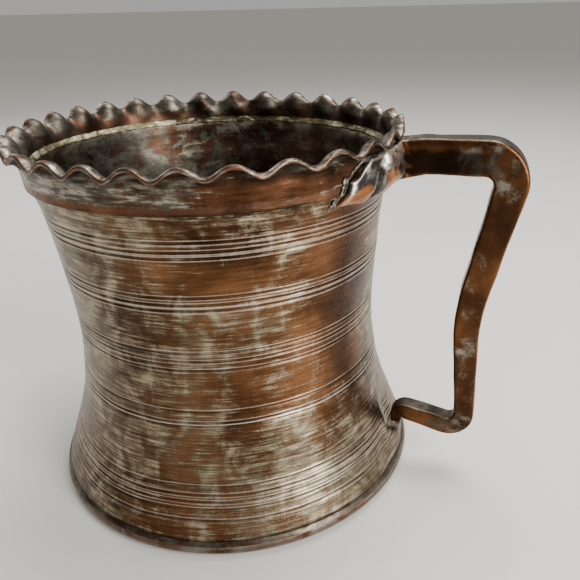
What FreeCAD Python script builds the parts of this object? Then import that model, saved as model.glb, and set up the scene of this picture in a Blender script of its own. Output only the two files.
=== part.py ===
"""A tinned copper mug: raised waisted wall, soldered base and crimped rim collar, forged bar handle.

Frame: millimetres, +Z up, origin at the centre of the flat underside on the mug's axis, and the
handle stands out along +X. Each piece of the mug is written as its own STEP file.
"""
import FreeCAD, Part
import math
import os

Vec = FreeCAD.Vector

# ---- driving dimensions, mm -------------------------------------------------------------------
SHEET = 1.2                   # thickness of the copper sheet everywhere
FIT = 0.05                    # solder film between lapped sheets

SEAM_Z = 5.6                  # seam between the base pan and the wall
LAP_Z = 104.8                 # lower edge of the rim collar
WALL_TOP_Z = 108.2            # upper edge of the wall, inside the collar
WALL_TOP_R = 55.0             # outer radius of the wall where the collar laps it
WALL_SHAPE = [                # (height, outer radius) of the waisted wall below the lap
    (SEAM_Z, 63.0), (12.7, 60.1), (25.0, 55.5), (38.0, 52.1), (57.0, 50.1),
    (79.0, 51.2), (95.0, 52.7), (LAP_Z, WALL_TOP_R)]

LINE_BANDS = [                # heights of the turned lines, band by band from the rim down
    (97.2, 94.5, 92.7), (81.4, 79.3, 77.6), (64.1, 61.4, 58.4),
    (44.9, 41.4, 40.2), (21.5, 19.0, 17.0, 14.8, 11.5)]
LINE_TOOL_R = 0.55            # radius of the round-nosed line
LINE_DEPTH = 0.25

BASE_FLAT_R = 59.6            # radius of the flat that the mug stands on
BASE_SIDE = (64.4, 2.8)       # widest point of the rounded foot (radius, height)

RIM_WAVES = 29                # crimps round the rim
RIM_WAVE_HEIGHT = 1.75        # half the height of a crimp, square to the sheet
RIM_FIRST_CREST_DEG = -169.8
RIM_WANDER = [                # uneven spacing: (swells in one turn, degrees, where a swell peaks)
    (1, 0.8, 90.0), (2, 0.9, 180.0), (3, 1.1, 0.0), (4, 1.0, -90.0)]
RIM_SAMPLES = 8 * RIM_WAVES   # points round each rim curve
RIM_SHIFT = (-1.15, -0.33)    # the lip leans away from the handle
RIM_TILT = (-0.21, 0.45)      # and is this much higher on the far side
COLLAR_LEVELS = [             # (outer radius, height, share of the crimp) from the lap to the lip's edge
    (WALL_TOP_R + FIT + SHEET, LAP_Z, 0.0), (56.3, 107.4, 0.0), (56.5, 110.2, 0.10),
    (56.8, 112.6, 0.45), (57.6, 114.5, 0.80), (58.6, 115.05, 0.93), (59.5, 115.1, 1.0)]
COLLAR_CLEAR = [              # (radius, height) outline under the crimped lip that the handle keeps to
    (57.5, 112.2), (62.0, 112.5)]

SEAM_TIN = [                  # (from the seam's radius, from its height) of the tin inside the foot
    (-2.4, 1.5), (0.0, 1.5), (0.6, -1.6), (-1.8, -1.4)]
LEDGE_TIN_IN = 0.3            # the ledge's tin starts this far inside the wall's edge
LEDGE_TIN_H = 1.6             # how far the ledge's tin climbs the collar
LAP_TIN_H = 1.1               # height of the line of tin under the collar's edge

BAR_TOP_Z = 114.7             # top of the handle's upper arm
BAR_UNDER_Z = 104.6           # underside of the upper arm
BAR_ROOT_X = 59.8             # where the bar meets the saddle
BAR_WIDTH_TOP = 9.0           # width across the bar at BAR_TOP_Z
BAR_WIDTH_FOOT = 6.2          # width across the bar at BAR_FOOT_Z
BAR_FOOT_Z = 14.0
BAR_EDGE = 1.3                # chamfer along the forged bar's long edges
BAR_TIP_TOP_Z = 18.3          # top of the square tip that the pin stands in
BAR_TIP_UNDER_Z = 15.9
BAR_TIP_X = 64.0
BAR_SIDE = [                  # (x, height, bend radius) round the bar's side view
    (BAR_ROOT_X, 114.1, 0.0), (65.5, BAR_TOP_Z, 12.0), (97.2, BAR_TOP_Z, 12.0),
    (86.0, 59.5, 90.0), (88.2, 12.3, 7.5), (62.9, BAR_TIP_TOP_Z, 0.0),
    (62.6, BAR_TIP_UNDER_Z, 0.0), (60.0, BAR_TIP_UNDER_Z, 0.0), (59.0, 25.4, 3.2),
    (81.4, 20.0, 3.5), (77.0, 61.3, 80.0), (86.8, BAR_UNDER_Z, 3.5),
    (64.5, BAR_UNDER_Z, 12.0), (BAR_ROOT_X, 102.8, 0.0)]
BAR_FLAT_AREA = 400.0         # only the bar's two side faces are larger

SADDLE_HALF_ANGLE = 31.0      # degrees that each leaf of the saddle wraps round the mug
SADDLE_BOTTOM_Z = 100.6
SADDLE_TOP_Z = 110.2
SADDLE_OUT = 2.6              # how far the leaves stand out from the collar
SADDLE_GROOVE_DEG = 15.5      # where a shallow valley runs down each leaf
SADDLE_GROOVE_R = 2.4
SADDLE_GROOVE_DEPTH = 1.0
SADDLE_FOOT_OUT = 1.4         # thickness of a leaf along its lower edge
SADDLE_BULGE_Z = 106.6        # height where a leaf stands out most
SADDLE_SHOULDER = (2.0, 0.6)  # (above the bottom, inside the bulge) where the leaf's foot rounds off
SADDLE_TOP_IN = 0.9           # the leaf's top is this far inside its bulge
BOSS_SIDE = [                 # (x, height) of the boss under the bar's root
    (57.0, 101.6), (BAR_ROOT_X, 102.8), (BAR_ROOT_X, 113.4), (57.0, 113.4)]
BOSS_MARGIN = 1.2             # the boss is this much wider than the bar on each side
RIM_CLEAR = 0.3               # gap between the handle's root and the crimped sheet above it

LEAF_TIN_DEG = 3.5            # width of the tin along a leaf's end
LEAF_TIN_IN = 0.5             # and how much lower than the leaf it is
TOP_TIN = [(0.0, 0.0), (1.1, 0.0), (0.6, 0.9)]   # (out, up) of the tin along the saddle's top

PEG_R = 1.2                   # radius of the pin at the bar's lower end
PEG_X = 61.7
PEG_TOP_Z = 21.0
PEG_BEND_Z = 12.6             # where the pin starts to bend towards the wall
PEG_BEND_R = 2.6
PEG_BEND_DEG = 68.0
PEG_HEAD_R = 2.5
PEG_HEAD_H = 1.1
PEG_HEAD_TAPER = 0.6          # radius of the head's far face against its near one
PEG_RUN = 0.8                 # straight run of the pin through the wall
PEG_HEAD_IN = 0.1             # overlap of head and pin

FULL_TURN = 360.0
AXIS = (Vec(0, 0, 0), Vec(0, 0, 1))


# ---- small helpers ----------------------------------------------------------------------------
def on_xz(x, z):
    """Point of the XZ plane."""
    return Vec(x, 0, z)


def polygon(points):
    """Closed straight-sided wire in the XZ plane."""
    corners = [on_xz(x, z) for x, z in points]
    return Part.makePolygon(corners + corners[:1])


def turned(wire, start_deg=0.0, sweep_deg=FULL_TURN):
    """Solid turned about the mug's axis from an outline in the XZ plane."""
    face = Part.Face(wire)
    face.rotate(*AXIS, start_deg)
    return face.revolve(*AXIS, sweep_deg)


def rounded_wire(corners):
    """Closed XZ wire through (x, z, radius) corners, with a tangent arc at each one."""
    count = len(corners)
    edges = []
    spans = []
    for i, (x, z, radius) in enumerate(corners):
        here = on_xz(x, z)
        to_last = (on_xz(*corners[i - 1][:2]) - here).normalize()
        to_next = (on_xz(*corners[(i + 1) % count][:2]) - here).normalize()
        half = to_last.getAngle(to_next) / 2.0
        run = radius / math.tan(half)
        middle = here + (to_last + to_next).normalize() * (radius / math.sin(half) - radius)
        spans.append((here + to_last * run, middle, here + to_next * run))
    for i, (arc_in, middle, arc_out) in enumerate(spans):
        if corners[i][2] > 0:
            edges.append(Part.Arc(arc_in, middle, arc_out).toShape())
        edges.append(Part.makeLine(arc_out, spans[(i + 1) % count][0]))
    return Part.Wire(edges)


def spline_edge(points):
    """Smooth edge through XZ points."""
    curve = Part.BSplineCurve()
    curve.interpolate([on_xz(x, z) for x, z in points])
    return curve.toShape()


def thinned(points):
    """(x, z) points moved one sheet thickness to the left of the way they run."""
    moved = []
    for i, (x, z) in enumerate(points):
        before = points[max(i - 1, 0)]
        after = points[min(i + 1, len(points) - 1)]
        dx, dz = after[0] - before[0], after[1] - before[1]
        length = math.hypot(dx, dz)
        moved.append((x - dz / length * SHEET, z + dx / length * SHEET))
    return moved


# ---- the wall and the base --------------------------------------------------------------------
def wall_radius(z):
    """Outer radius of the wall at a height, straight between the shape's points."""
    for (z0, r0), (z1, r1) in zip(WALL_SHAPE, WALL_SHAPE[1:]):
        if z <= z1:
            return r0 + (r1 - r0) * (z - z0) / (z1 - z0)
    return WALL_TOP_R


def wall_blank():
    """Raised wall before its lines and the pin's hole are cut."""
    outside = [(r, z) for z, r in WALL_SHAPE]
    inside = thinned(outside)
    inside[0] = (inside[0][0], SEAM_Z)
    inside[-1] = (WALL_TOP_R - SHEET, LAP_Z)
    up = spline_edge(outside)
    down = spline_edge(inside)
    top_out, top_in = on_xz(WALL_TOP_R, WALL_TOP_Z), on_xz(WALL_TOP_R - SHEET, WALL_TOP_Z)
    wire = Part.Wire([
        up, Part.makeLine(on_xz(*outside[-1]), top_out), Part.makeLine(top_out, top_in),
        Part.makeLine(top_in, on_xz(*inside[-1])), down,
        Part.makeLine(on_xz(*inside[0]), on_xz(*outside[0]))])
    return turned(wire), up


def with_lines(wall, outline):
    """Wall with the bands of turned lines cut round its outside."""
    for z in [height for band in LINE_BANDS for height in band]:
        level = Part.makeLine(on_xz(0, z), on_xz(2 * WALL_TOP_R, z))
        surface_r = outline.distToShape(level)[1][0][0].x
        ring = Part.makeTorus(surface_r + LINE_TOOL_R - LINE_DEPTH, LINE_TOOL_R, Vec(0, 0, z))
        wall = wall.cut(ring)
    return wall


def base_pan():
    """Flat bottom with a rounded foot, turned up to the seam."""
    side_r, side_z = BASE_SIDE
    seam_r = WALL_SHAPE[0][1]
    corner = 0.7071
    bow_r = BASE_FLAT_R + (side_r - BASE_FLAT_R) * corner
    bow_z = side_z * (1 - corner)
    outer_bow = Part.Arc(on_xz(BASE_FLAT_R, 0), on_xz(bow_r, bow_z), on_xz(side_r, side_z))
    inner_start = on_xz(BASE_FLAT_R, SHEET)
    inner_end = on_xz(side_r - SHEET, side_z + SHEET / 4)
    inner_bow = Part.Arc(
        inner_end, on_xz(bow_r - SHEET * corner, bow_z + SHEET * corner), inner_start)
    seam_out, seam_in = on_xz(seam_r, SEAM_Z), on_xz(seam_r - SHEET, SEAM_Z)
    centre_low, centre_high = on_xz(0, 0), on_xz(0, SHEET)
    return turned(Part.Wire([
        Part.makeLine(centre_low, on_xz(BASE_FLAT_R, 0)), outer_bow.toShape(),
        Part.makeLine(on_xz(side_r, side_z), seam_out), Part.makeLine(seam_out, seam_in),
        Part.makeLine(seam_in, inner_end), inner_bow.toShape(),
        Part.makeLine(inner_start, centre_high), Part.makeLine(centre_high, centre_low)]))


def base_seam_solder(wall, pan):
    """Fillet of tin run round the inside of the foot seam."""
    seam_r = WALL_SHAPE[0][1]
    ring = turned(polygon([(seam_r + out, SEAM_Z + up) for out, up in SEAM_TIN]))
    reach, top = seam_r - SHEET / 2, 2 * SEAM_Z
    inside = turned(polygon([(0, 0), (reach, 0), (reach, top), (0, top)]))
    rest = ring.common(inside).cut(wall).cut(pan)
    return max(rest.Solids, key=lambda solid: solid.Volume)


# ---- the crimped collar -----------------------------------------------------------------------
def crimp(angle_deg):
    """Height of the crimp at an angle, from -1 in a trough to 1 on a crest."""
    turn = math.radians(angle_deg)
    wander = sum(size * math.cos(swells * turn - math.radians(peak))
                 for swells, size, peak in RIM_WANDER)
    phase = RIM_WAVES * math.radians(angle_deg - wander - RIM_FIRST_CREST_DEG)
    return math.cos(phase)


def level_normal(index):
    """Unit vector, out and down, square to the collar's sheet at one of its levels."""
    low = COLLAR_LEVELS[max(index - 1, 0)]
    high = COLLAR_LEVELS[min(index + 1, len(COLLAR_LEVELS) - 1)]
    dr, dz = high[0] - low[0], high[1] - low[1]
    length = math.hypot(dr, dz)
    return dz / length, -dr / length


def collar_edge(index, depth):
    """Closed curve round the collar at a level, a given depth inside its outer face."""
    radius, height, share = COLLAR_LEVELS[index]
    out_r, out_z = level_normal(index) if share > 0 else (1.0, 0.0)
    shift_x, shift_y = RIM_SHIFT
    tilt_x, tilt_y = RIM_TILT
    points = []
    for step in range(RIM_SAMPLES):
        angle = FULL_TURN * step / RIM_SAMPLES
        shift = -RIM_WAVE_HEIGHT * share * crimp(angle) - depth
        r = radius + shift * out_r
        turn = math.radians(angle)
        x, y = math.cos(turn), math.sin(turn)
        tilt = share * (tilt_x * x + tilt_y * y)
        points.append(Vec(r * x + share * shift_x, r * y + share * shift_y,
                          height + shift * out_z + tilt))
    curve = Part.BSplineCurve()
    curve.interpolate(Points=points, PeriodicFlag=True)
    return curve.toShape()


def rim_collar():
    """Flared strip lapped over the wall's top, crimped into waves along its free edge."""
    levels = range(len(COLLAR_LEVELS))
    outer = [collar_edge(index, 0.0) for index in levels]
    inner = [collar_edge(index, SHEET) for index in levels]
    skins = [Part.makeLoft([Part.Wire([edge]) for edge in edges], False, False)
             for edges in (outer, inner)]
    ends = [Part.makeRuledSurface(outer[end], inner[end]) for end in (0, -1)]
    shell = Part.Shell([face for skin in skins for face in skin.Faces] + ends)
    shell.sewShape()
    solid = Part.Solid(Part.Shell(shell.Faces))
    if solid.Volume < 0:
        solid.reverse()
    return solid


def collar_solder():
    """Tin along the ledge inside the mouth, and the line of tin under the collar's edge."""
    ledge_in = WALL_TOP_R - SHEET + LEDGE_TIN_IN
    ledge = turned(polygon([
        (ledge_in, WALL_TOP_Z), (WALL_TOP_R, WALL_TOP_Z),
        (WALL_TOP_R + FIT, WALL_TOP_Z + LEDGE_TIN_H),
        (ledge_in + SHEET / 2, WALL_TOP_Z + LEDGE_TIN_H / 3)]))
    under = turned(polygon([
        (WALL_TOP_R + FIT, LAP_Z - FIT), (WALL_TOP_R + SHEET - 4 * FIT, LAP_Z - FIT),
        (wall_radius(LAP_Z - LAP_TIN_H) + 3 * FIT, LAP_Z - LAP_TIN_H)]))
    return ledge, under


# ---- the handle -------------------------------------------------------------------------------
def handle_bar():
    """Forged bar: upper arm, long back leg and lower arm, drawn thinner towards the foot."""
    side = rounded_wire(BAR_SIDE)
    blank = Part.Face(side).extrude(Vec(0, BAR_WIDTH_TOP, 0))
    blank.translate(Vec(0, -BAR_WIDTH_TOP / 2, 0))
    taper = (BAR_WIDTH_TOP - BAR_WIDTH_FOOT) / 2 / (BAR_TOP_Z - BAR_FOOT_Z)
    past = BAR_FOOT_Z / 2
    low_z, high_z = BAR_FOOT_Z - past, BAR_TOP_Z + past
    half_low = BAR_WIDTH_FOOT / 2 - past * taper
    half_high = BAR_WIDTH_TOP / 2 + past * taper
    near, far = 0.0, 2 * BAR_ROOT_X
    front = Part.makePolygon([
        Vec(near, -half_low, low_z), Vec(near, half_low, low_z), Vec(near, half_high, high_z),
        Vec(near, -half_high, high_z), Vec(near, -half_low, low_z)])
    bar = blank.common(Part.Face(front).extrude(Vec(far - near, 0, 0)))
    long_edges = []
    for face in bar.Faces:
        if face.Area > BAR_FLAT_AREA and abs(face.normalAt(0, 0).y) > abs(face.normalAt(0, 0).x):
            for edge in face.Edges:
                middle = edge.CenterOfMass
                at_tip = middle.z < BAR_TIP_TOP_Z and middle.x < BAR_TIP_X
                at_root = middle.x < BAR_ROOT_X + FIT and middle.z > BAR_UNDER_Z / 2
                if not (at_tip or at_root):
                    long_edges.append(edge)
    return bar.makeChamfer(BAR_EDGE, long_edges)


def saddle_skin(grow):
    """Section outline of the saddle's leaves, grown outwards by a margin."""
    foot_r = wall_radius(SADDLE_BOTTOM_Z) + FIT
    collar_r = COLLAR_LEVELS[1][0] + FIT
    bulge_r = collar_r + SADDLE_OUT + grow
    shoulder_up, shoulder_in = SADDLE_SHOULDER
    foot_z, top_z = SADDLE_BOTTOM_Z - grow, SADDLE_TOP_Z + grow
    return polygon([
        (foot_r, foot_z), (foot_r + SADDLE_FOOT_OUT, foot_z),
        (bulge_r - shoulder_in, SADDLE_BOTTOM_Z + shoulder_up), (bulge_r, SADDLE_BULGE_Z),
        (bulge_r - SADDLE_TOP_IN, top_z), (COLLAR_LEVELS[2][0] + RIM_CLEAR, top_z),
        (collar_r, COLLAR_LEVELS[1][1]), (collar_r, LAP_Z - FIT), (WALL_TOP_R + FIT, LAP_Z - FIT)])


def rim_envelope():
    """Everything inside the mug's outer face and the crimped rim, with clearance."""
    collar_r, collar_z = COLLAR_LEVELS[1][:2]
    past_r, top_z = COLLAR_CLEAR[-1][0], 2 * LAP_Z
    return turned(polygon([
        (0, LAP_Z / 2), (collar_r + FIT, LAP_Z - FIT), (collar_r + FIT, collar_z),
        (COLLAR_LEVELS[2][0] + RIM_CLEAR, SADDLE_TOP_Z)] + COLLAR_CLEAR + [
            (past_r, top_z), (0, top_z)]))


def handle_saddle(envelope):
    """Fishtail saddle: two leaves round the mug and a boss that the bar stands on."""
    leaves = turned(saddle_skin(0.0), -SADDLE_HALF_ANGLE, 2 * SADDLE_HALF_ANGLE)
    reach = COLLAR_LEVELS[1][0] + SADDLE_OUT
    for side in (-1, 1):
        turn = math.radians(side * SADDLE_GROOVE_DEG)
        out = reach + SADDLE_GROOVE_R - SADDLE_GROOVE_DEPTH
        foot = Vec(out * math.cos(turn), out * math.sin(turn), SADDLE_BOTTOM_Z - SEAM_Z)
        leaves = leaves.cut(Part.makeCylinder(SADDLE_GROOVE_R, SADDLE_TOP_Z, foot))
    half = BAR_WIDTH_TOP / 2 + BOSS_MARGIN
    boss = Part.Face(polygon(BOSS_SIDE)).extrude(Vec(0, 2 * half, 0))
    boss.translate(Vec(0, -half, 0))
    return leaves.fuse(boss.cut(envelope)).removeSplitter()


def handle_solder(saddle):
    """Tin run along the top and the two ends of the saddle's leaves."""
    ends = [turned(saddle_skin(-LEAF_TIN_IN), start, LEAF_TIN_DEG)
            for start in (-SADDLE_HALF_ANGLE - LEAF_TIN_DEG, SADDLE_HALF_ANGLE)]
    top_r = COLLAR_LEVELS[2][0] + RIM_CLEAR
    fillet = turned(polygon([(top_r + out, SADDLE_TOP_Z + up) for out, up in TOP_TIN]),
                    -SADDLE_HALF_ANGLE, 2 * SADDLE_HALF_ANGLE).cut(saddle)
    return Part.makeCompound(ends + fillet.Solids)


def lower_peg(wall):
    """Pin let into the bar's lower end, bent through the wall and peened over inside."""
    bend = math.radians(PEG_BEND_DEG)
    centre = on_xz(PEG_X - PEG_BEND_R, PEG_BEND_Z)

    def on_bend(angle):
        """Point of the bend, an angle past its start."""
        return centre + on_xz(PEG_BEND_R * math.cos(angle), -PEG_BEND_R * math.sin(angle))

    inwards = on_xz(-math.sin(bend), -math.cos(bend))
    bend_end = on_bend(bend)
    path = Part.Wire([
        Part.makeLine(on_xz(PEG_X, PEG_TOP_Z), on_bend(0)),
        Part.Arc(on_bend(0), on_bend(bend / 2), bend_end).toShape(),
        Part.makeLine(bend_end, bend_end + inwards * PEG_RUN)])
    ring = Part.Wire([Part.makeCircle(PEG_R, on_xz(PEG_X, PEG_TOP_Z), Vec(0, 0, -1))])
    pin = path.makePipeShell([ring], True, False)
    head = Part.makeCone(PEG_HEAD_R, PEG_HEAD_R * PEG_HEAD_TAPER, PEG_HEAD_H,
                         bend_end - inwards * PEG_HEAD_IN, inwards)
    return pin.fuse(head.cut(wall)).removeSplitter()


def main():
    """Build every piece and write one STEP file for each."""
    blank, outline = wall_blank()
    peg = lower_peg(blank)
    pan = base_pan()
    envelope = rim_envelope()
    saddle = handle_saddle(envelope)
    handle_tin = handle_solder(saddle)
    ledge_tin, under_tin = collar_solder()
    under_tin = under_tin.cut(saddle).cut(handle_tin)
    pieces = {
        "body_wall": with_lines(blank, outline).cut(peg),
        "base_pan": pan,
        "base_seam_solder": base_seam_solder(blank, pan),
        "rim_collar": rim_collar(),
        "collar_solder": Part.makeCompound([ledge_tin] + under_tin.Solids),
        "handle_bar": handle_bar().cut(peg),
        "handle_saddle": saddle,
        "handle_solder": handle_tin,
        "lower_peg": peg,
    }
    os.makedirs("parts", exist_ok=True)
    for name, shape in pieces.items():
        shape.exportStep(os.path.join("parts", name + ".step"))
        box = shape.BoundBox
        print(name, "valid", shape.isValid(), "solids", len(shape.Solids),
              "volume %.0f mm3" % shape.Volume,
              "x %.1f..%.1f y %.1f..%.1f z %.1f..%.1f" % (
                  box.XMin, box.XMax, box.YMin, box.YMax, box.ZMin, box.ZMax))


main()
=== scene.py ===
"""Looks of a tinned copper mug: turned wall, crimped rim, forged handle and worn, tarnished metal.

Every mesh is shaped in millimetres in the mug's own frame (+Z up, handle along +X, origin at the
centre of the underside) and brought to metres when it is finished.
"""
import logging
import math
import random
from dataclasses import dataclass
from enum import Enum
from typing import Callable, Sequence

import bmesh
import bpy
from bmesh.types import BMEdge, BMesh, BMVert
from bpy.types import Material, Node, NodeSocket, NodeTree, Object
from mathutils import Euler, Matrix, Vector, noise


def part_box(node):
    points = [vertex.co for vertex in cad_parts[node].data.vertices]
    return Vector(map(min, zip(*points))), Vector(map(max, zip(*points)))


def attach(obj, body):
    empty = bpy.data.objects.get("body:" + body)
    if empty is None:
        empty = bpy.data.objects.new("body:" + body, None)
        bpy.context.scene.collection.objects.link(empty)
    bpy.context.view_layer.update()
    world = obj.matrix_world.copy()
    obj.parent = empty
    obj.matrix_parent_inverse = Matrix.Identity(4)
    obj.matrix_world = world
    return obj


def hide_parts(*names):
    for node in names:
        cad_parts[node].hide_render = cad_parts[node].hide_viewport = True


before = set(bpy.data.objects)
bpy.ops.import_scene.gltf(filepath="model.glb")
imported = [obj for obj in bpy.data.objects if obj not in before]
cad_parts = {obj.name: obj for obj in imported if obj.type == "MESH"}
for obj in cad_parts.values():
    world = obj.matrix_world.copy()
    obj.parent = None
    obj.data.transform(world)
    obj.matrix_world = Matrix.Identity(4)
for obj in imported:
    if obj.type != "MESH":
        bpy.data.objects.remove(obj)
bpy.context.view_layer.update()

LOG = logging.getLogger("mug")
MM = 0.001
RELIEF = "relief"             # per-vertex value: -1 in a groove, in soot or in painted shade, +1 on a rubbed edge or a painted highlight
TINNED = "tinned"             # per-vertex value: -1 where the tin is gone, +1 where it is whole; one low spot on the wall paints a dark reflection


class Slot(Enum):
    """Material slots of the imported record."""
    WALL = "wall_copper"
    BASE = "base_copper"
    RIM = "rim_copper"
    BAR = "bar_copper"
    SADDLE = "saddle_copper"
    TIN = "solder_tin"
    PIN = "pin_tin"


# ---- numbers and curves ----
def cad_box(node_name: str) -> tuple[Vector, Vector]:
    """Give the lowest and highest corner of a CAD node, in millimetres."""
    low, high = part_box(node_name)
    return low / MM, high / MM


def smooth(value: float, start: float, end: float) -> float:
    """Rise smoothly from 0, where the value is at start, to 1, where it is at end."""
    share = min(max((value - start) / (end - start), 0.0), 1.0)
    return share * share * (3.0 - 2.0 * share)


def bump(value: float, centre: float, width: float) -> float:
    """Give a bell of height 1 at centre that fades over about a width to each side."""
    return math.exp(-((value - centre) / width) ** 2)


def through(points: Sequence[tuple[float, float]], at: float) -> float:
    """Follow a smooth curve through (at, value) points.

    Args:
        points: The curve's points, in rising order.
        at: Where to read the curve; it is straight past its ends.

    Returns:
        The curve's value.
    """
    last = len(points) - 1
    index = 0
    while index < last - 1 and at > points[index + 1][0]:
        index += 1
    (x0, y0), (x1, y1) = points[index], points[index + 1]

    def slope(i: int) -> float:
        """Slope of the curve at one of its points."""
        before, after = points[max(i - 1, 0)], points[min(i + 1, last)]
        return (after[1] - before[1]) / (after[0] - before[0])

    if at < x0:
        return y0 + slope(index) * (at - x0)
    if at > x1:
        return y1 + slope(index + 1) * (at - x1)
    span = x1 - x0
    t = (at - x0) / span
    m0, m1 = slope(index) * span, slope(index + 1) * span
    return ((2 * t ** 3 - 3 * t ** 2 + 1) * y0 + (t ** 3 - 2 * t ** 2 + t) * m0
            + (3 * t ** 2 - 2 * t ** 3) * y1 + (t ** 3 - t ** 2) * m1)


def angle_of(point: Vector) -> float:
    """Angle of a point round the mug's axis, in degrees from the handle."""
    return math.degrees(math.atan2(point.y, point.x))


def outward(point: Vector) -> Vector:
    """Give the level direction from the mug's axis to a point."""
    return Vector((point.x, point.y, 0.0)).normalized()


def around(radius: float, angle: float, height: float) -> Vector:
    """Give the point at a radius, an angle in degrees from the handle, and a height."""
    turn = math.radians(angle)
    return Vector((radius * math.cos(turn), radius * math.sin(turn), height))


def grain(point: Vector, size: float, seed: float = 0.0) -> float:
    """Give smooth noise from about -1 to 1, whose swells have a size in millimetres."""
    return noise.noise(point / size + Vector((seed, seed * 0.7, -seed)))


@dataclass(frozen=True)
class Spot:
    """A soft-edged spot on the mug's side.

    Attributes:
        angle: Its middle, in degrees from the handle.
        height: Its middle's height.
        wide: Its reach to each side, in degrees.
        tall: Its reach up and down, in millimetres.
        amount: Its strength.
        lean: Degrees that it leans for each millimetre of height.
    """
    angle: float
    height: float
    wide: float
    tall: float
    amount: float
    lean: float = 0.0

    def at(self, point: Vector) -> float:
        """Give its strength.

        Args:
            point: Where.

        Returns:
            The strength.
        """
        rise = point.z - self.height
        turn = (angle_of(point) - self.angle + 180.0) % 360.0 - 180.0
        return self.amount * bump(turn, self.lean * rise, self.wide) * bump(rise, 0.0, self.tall)


# ---- meshes ----
def spun(outlines: Sequence[Sequence[tuple[float, float]]], steps: int, closed: bool,
         marks: dict[str, Sequence[float]] | None = None) -> BMesh:
    """Turn outlines once round the mug's axis.

    Args:
        outlines: Lists of (radius, height) points.
        steps: How many steps the turn takes.
        closed: Whether an outline's end joins its start.
        marks: Per-vertex values by name, one for each outline point, that every step keeps.

    Returns:
        The turned mesh.
    """
    bm = bmesh.new()
    layers = {name: bm.verts.layers.float.new(name) for name in marks or ()}
    for outline in outlines:
        verts = [bm.verts.new((radius, 0.0, height)) for radius, height in outline]
        for name, layer in layers.items():
            for vert, value in zip(verts, marks[name]):
                vert[layer] = value
        for pair in zip(verts, verts[1:] + verts[:1] if closed else verts[1:]):
            bm.edges.new(pair)
    bmesh.ops.spin(bm, geom=list(bm.verts) + list(bm.edges), cent=(0, 0, 0), axis=(0, 0, 1),
                   angle=math.tau, steps=steps, use_merge=True)
    bmesh.ops.remove_doubles(bm, verts=bm.verts, dist=1e-4)
    bmesh.ops.recalc_face_normals(bm, faces=bm.faces)
    return bm


def moved(bm: BMesh, shift: Callable[[Vector], Vector]) -> None:
    """Move every vertex by what a function of its place gives."""
    for vert in bm.verts:
        vert.co += shift(vert.co)


def painted(bm: BMesh, name: str, rule: Callable[[Vector], float]) -> None:
    """Store a per-vertex value that the finishes read.

    Args:
        bm: The mesh.
        name: Name of the value.
        rule: Gives the value at a place.
    """
    layer = bm.verts.layers.float.get(name) or bm.verts.layers.float.new(name)
    for vert in bm.verts:
        vert[layer] = rule(vert.co)


def lined(bm: BMesh, inner: Callable[[Vector, Vector], bool]) -> None:
    """Give the second material to the faces whose centre and normal pass a test."""
    for face in bm.faces:
        face.material_index = int(inner(face.calc_center_median(), face.normal))


@dataclass
class Station:
    """One place along a swept bar.

    Attributes:
        place: Centre of the section.
        along: Direction of the sweep.
        tall: Half the section's size in the plane of the sweep.
        wide: Half the section's size across it.
    """
    place: Vector
    along: Vector
    tall: float
    wide: float

    def matrix(self) -> Matrix:
        """Give the transform from a unit section to this place.

        Returns:
            The transform.
        """
        ahead = self.along.normalized()
        across = Vector((0.0, 1.0, 0.0))
        up = across.cross(ahead).normalized()
        turn = Matrix((across * self.wide, up * self.tall, ahead)).transposed().to_4x4()
        return Matrix.Translation(self.place) @ turn


def swept(stations: Sequence[Station], sides: int, squareness: float) -> BMesh:
    """Sweep a rounded square along stations in the XZ plane, with closed ends.

    Args:
        stations: The places along the sweep.
        sides: Points round the section.
        squareness: 2 gives a round section, more a squarer one.

    Returns:
        The swept mesh.
    """
    bm = bmesh.new()
    bmesh.ops.create_circle(bm, segments=sides, radius=1.0, cap_ends=False)
    for vert in bm.verts:
        turn = math.atan2(vert.co.y, vert.co.x)
        reach = (abs(math.cos(turn)) ** squareness + abs(math.sin(turn)) ** squareness)
        vert.co *= reach ** (-1.0 / squareness)
    bmesh.ops.transform(bm, matrix=stations[0].matrix(), verts=bm.verts)
    ring = list(bm.edges)
    bmesh.ops.contextual_create(bm, geom=ring)
    for before, here in zip(stations, stations[1:]):
        made = bmesh.ops.extrude_edge_only(bm, edges=ring)["geom"]
        fresh = [item for item in made if isinstance(item, BMVert)]
        ring = [item for item in made if isinstance(item, BMEdge)
                and all(vert in fresh for vert in item.verts)]
        bmesh.ops.transform(bm, matrix=here.matrix() @ before.matrix().inverted(), verts=fresh)
    bmesh.ops.contextual_create(bm, geom=ring)
    bmesh.ops.recalc_face_normals(bm, faces=bm.faces)
    return bm


def finished(name: str, bm: BMesh, finishes: Sequence[Material],
             stands_for: str) -> Object:
    """Turn a mesh in millimetres into a finished piece on the mug.

    Args:
        name: Name of the piece.
        bm: Its mesh, which is freed.
        finishes: Its materials, in the order of the faces' material indices.
        stands_for: The CAD node it replaces.

    Returns:
        The piece.
    """
    bmesh.ops.scale(bm, vec=(MM, MM, MM), verts=bm.verts)
    for face in bm.faces:
        face.smooth = True
    mesh = bpy.data.meshes.new(name)
    bm.to_mesh(mesh)
    bm.free()
    piece = bpy.data.objects.new(name, mesh)
    bpy.context.scene.collection.objects.link(piece)
    for finish in finishes:
        mesh.materials.append(finish)
    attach(piece, "root")
    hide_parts(stands_for)
    LOG.info("%s: %d faces", name, len(mesh.polygons))
    return piece


# ---- finishes ----
def linear(colour: str) -> tuple[float, float, float, float]:
    """Turn an sRGB hex colour into linear RGBA.

    Args:
        colour: Six hex digits after a hash.

    Returns:
        The colour that a shader socket takes.
    """
    parts = [int(colour[i:i + 2], 16) / 255.0 for i in (1, 3, 5)]
    straight = [c / 12.92 if c <= 0.04045 else ((c + 0.055) / 1.055) ** 2.4 for c in parts]
    return straight[0], straight[1], straight[2], 1.0


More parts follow.
